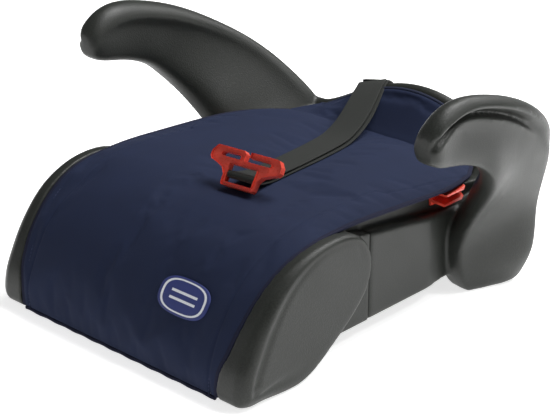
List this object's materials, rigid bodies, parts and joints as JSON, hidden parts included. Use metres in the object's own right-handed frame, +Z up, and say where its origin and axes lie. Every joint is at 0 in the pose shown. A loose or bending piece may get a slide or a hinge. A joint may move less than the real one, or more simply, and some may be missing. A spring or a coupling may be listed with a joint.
{
  "type": "booster seat",
  "caption": "Backless child booster seat: moulded shell with forward-hooked armrests, bound fabric cover, lap-belt guides under the arms and a strap with a shoulder-belt clip.",
  "frame": {"origin": "centre of the footprint's bounding box, on the floor", "axes": "+Z up, the seat's front faces -Y, +X towards the right armrest as seen from the front"},
  "size_m": [0.4408, 0.422, 0.2333],
  "materials": {
    "shell": "fine moulded texture, satin",
    "foam": "open-cell foam, hidden",
    "fabric": "woven polyester",
    "binding": "folded binding tape, stitched",
    "patch": "plain woven patch with a pale border",
    "webbing": "woven polyester webbing",
    "red_plastic": "satin",
    "black_plastic": "satin",
    "steel": "zinc plated"
  },
  "bodies": {
    "seat": {"seat_shell": "shell", "front_cheek_left": "shell", "front_cheek_right": "shell", "seat_foam": "foam", "backrest_foam": "foam", "cover_seat_panel": "fabric", "cover_back_panel": "fabric", "cover_hem_left": "binding", "cover_hem_right": "binding", "cover_hem_front": "binding", "cover_hem_back": "binding", "label_patch": "patch", "strap_rear_run": "webbing", "strap_bracket": "black_plastic", "bracket_screw_left": "steel", "bracket_screw_right": "steel", "belt_guide_left": "red_plastic", "belt_guide_right": "red_plastic", "guide_screw_left_front": "steel", "guide_screw_left_rear": "steel", "guide_screw_right_front": "steel", "guide_screw_right_rear": "steel"},
    "strap": {"strap_front_run": "webbing"},
    "clip": {"shoulder_clip": "red_plastic"},
    "keeper": {"strap_keeper": "black_plastic"}
  },
  "joints": [
    {"name": "strap_swing", "type": "hinge", "parent": "seat", "child": "strap", "pos_m": [-0.044, 0.189, 0.1437], "axis": [-0.9806, 0, -0.1961], "range_deg": [0, 80]},
    {"name": "clip_pivot", "type": "hinge", "parent": "strap", "child": "clip", "pos_m": [0.03193, -0.08168, 0.13698], "axis": [0.9945, 0.1045, 0], "range_deg": [-40, 40]},
    {"name": "keeper_slide", "type": "slide", "parent": "seat", "child": "keeper", "axis": [0.1219, 0, 0.9925], "range_m": [-0.01, 0.018]}
  ]
}
